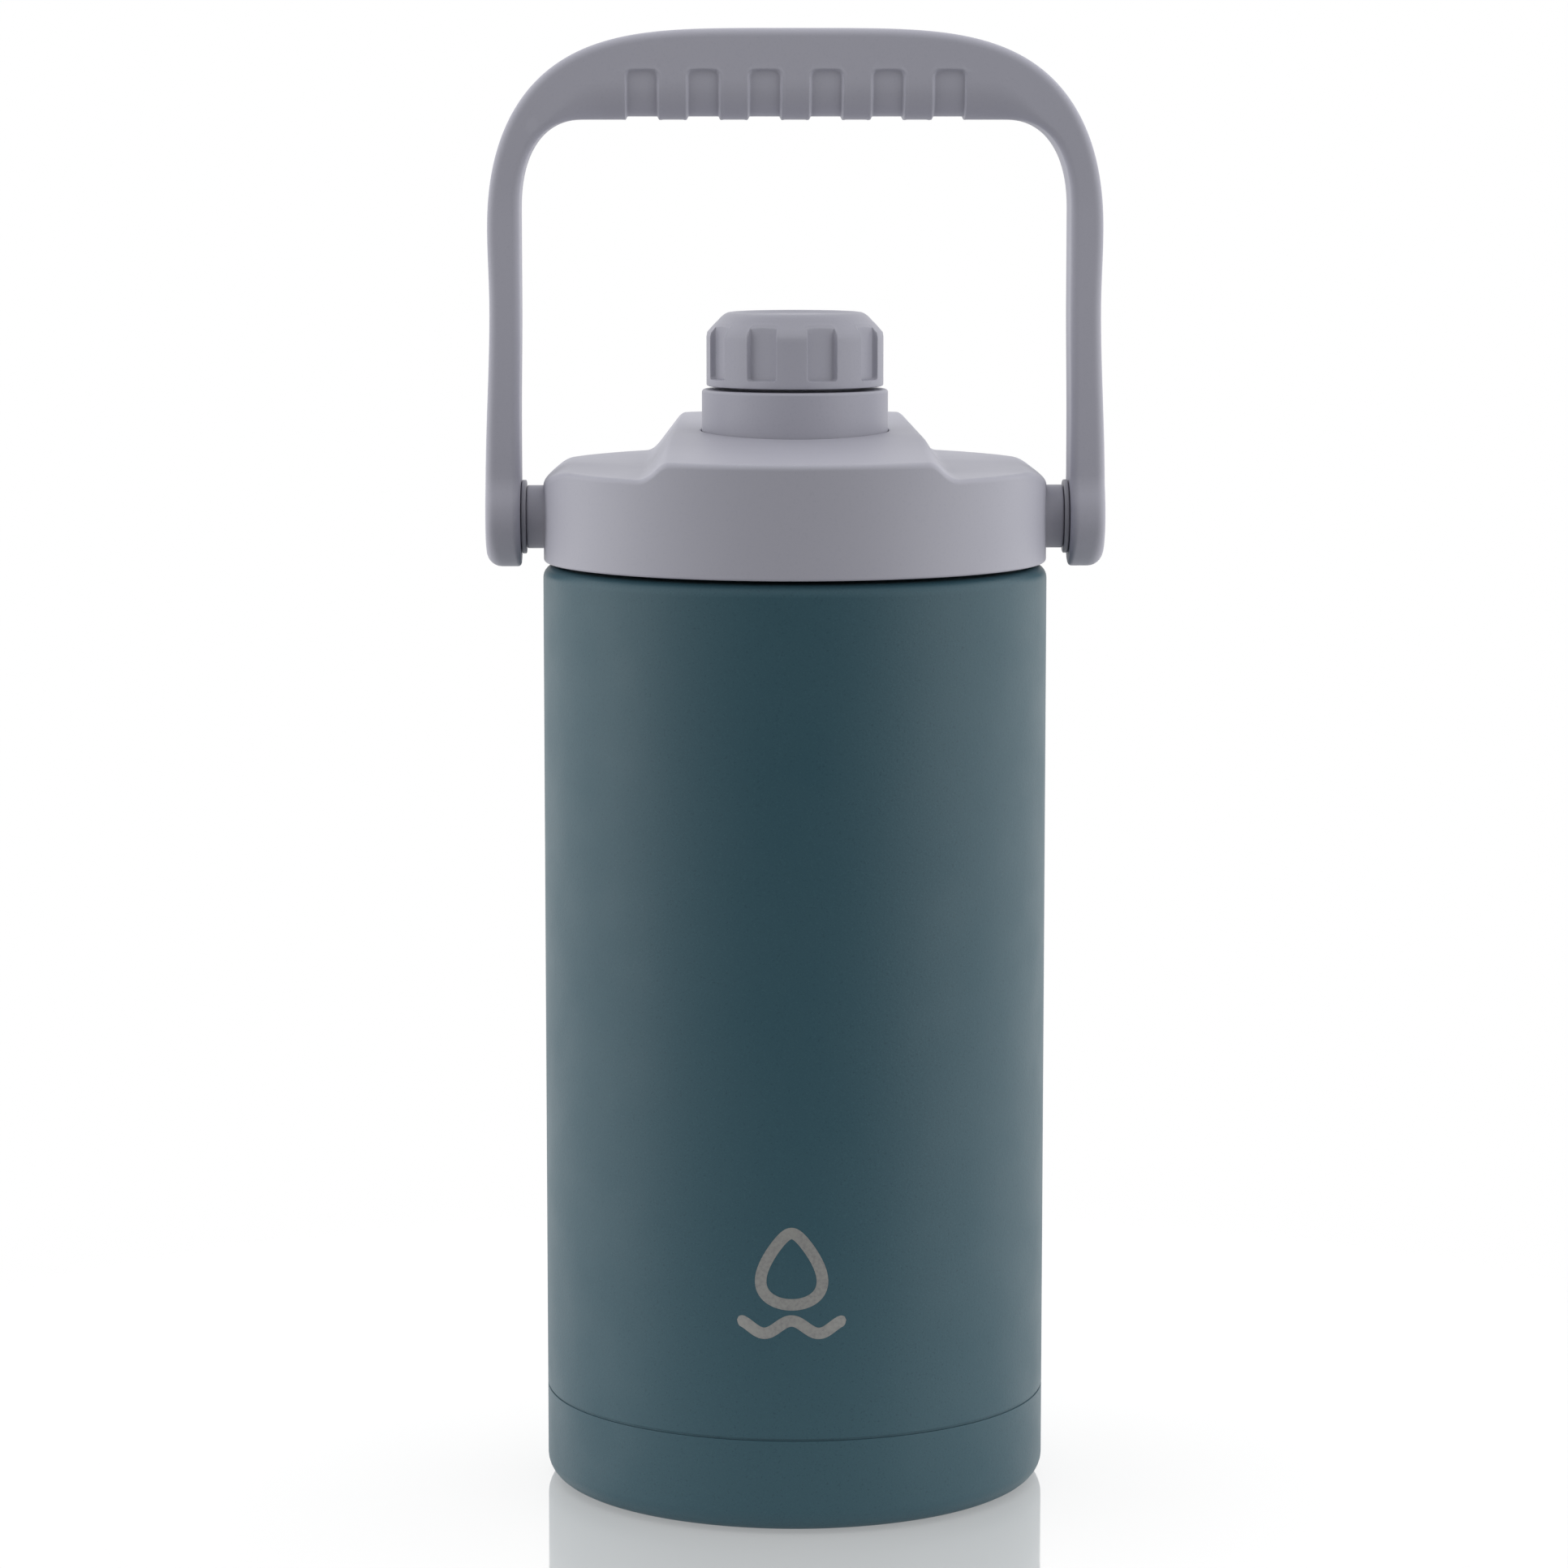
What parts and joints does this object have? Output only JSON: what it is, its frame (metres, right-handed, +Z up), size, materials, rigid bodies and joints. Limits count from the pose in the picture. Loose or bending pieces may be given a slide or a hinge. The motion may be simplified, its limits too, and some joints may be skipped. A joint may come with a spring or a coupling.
{
  "type": "insulated water jug",
  "caption": "Tall insulated steel water jug with a screw lid, a screw-capped drinking spout and a swinging arched carry handle.",
  "frame": {"origin": "centre of the base, on the surface the jug stands on", "axes": "+Z up along the jug's axis, the front faces -Y, the handle's pivot axis runs along X"},
  "size_m": [0.1466, 0.12, 0.3472],
  "materials": {
    "body_paint": "matt powder coat",
    "steel": "satin stainless steel",
    "seal_bead": "dark sealing bead",
    "getter": "sintered",
    "silicone": "translucent silicone",
    "lid_plastic": "fine moulded texture",
    "handle_plastic": "fine moulded texture",
    "liner_plastic": "smooth moulded",
    "washer_plastic": "smooth moulded",
    "foam": "closed-cell foam",
    "brass": "turned"
  },
  "bodies": {
    "jug": {"outer_shell": "body_paint", "shell_bottom": "steel", "base_cup": "body_paint", "inner_liner": "steel", "vacuum_seal": "seal_bead", "getter_pellet": "getter"},
    "lid_seal": {"lid_gasket": "silicone"},
    "lid": {"lid_shell": "lid_plastic", "lid_liner": "liner_plastic", "lid_foam": "foam", "spout": "lid_plastic", "spout_o_ring": "silicone", "pivot_insert_left": "brass", "pivot_insert_right": "brass", "pivot_washer_left": "washer_plastic", "pivot_washer_right": "washer_plastic", "pivot_screw_left": "steel", "pivot_screw_right": "steel"},
    "handle": {"carry_handle": "handle_plastic", "handle_bush_left": "liner_plastic", "handle_bush_right": "liner_plastic", "pivot_cap_left": "handle_plastic", "pivot_cap_right": "handle_plastic"},
    "cap_seal": {"cap_gasket": "silicone"},
    "cap": {"cap_shell": "lid_plastic", "cap_liner": "liner_plastic"}
  },
  "joints": [
    {"name": "lid_lift", "type": "slide", "parent": "jug", "child": "lid_seal", "axis": [0, 0, 1], "range_m": [0, 0.016]},
    {"name": "lid_turn", "type": "hinge", "parent": "lid_seal", "child": "lid", "pos_m": [0, 0, 0.23], "axis": [0, 0, 1], "range_deg": [0, 720]},
    {"name": "handle_swing", "type": "hinge", "parent": "lid", "child": "handle", "pos_m": [0, 0, 0.2323], "axis": [1, 0, 0], "range_deg": [-130, 130]},
    {"name": "cap_lift", "type": "slide", "parent": "lid", "child": "cap_seal", "axis": [0, 0, 1], "range_m": [0, 0.0125]},
    {"name": "cap_turn", "type": "hinge", "parent": "cap_seal", "child": "cap", "pos_m": [0, 0, 0.27], "axis": [0, 0, 1], "range_deg": [0, 900]}
  ],
  "couplings": [
    {"joint": "lid_lift", "follows": "lid_turn", "m_per_rad": 0.0012732},
    {"joint": "cap_lift", "follows": "cap_turn", "m_per_rad": 0.00079577}
  ]
}
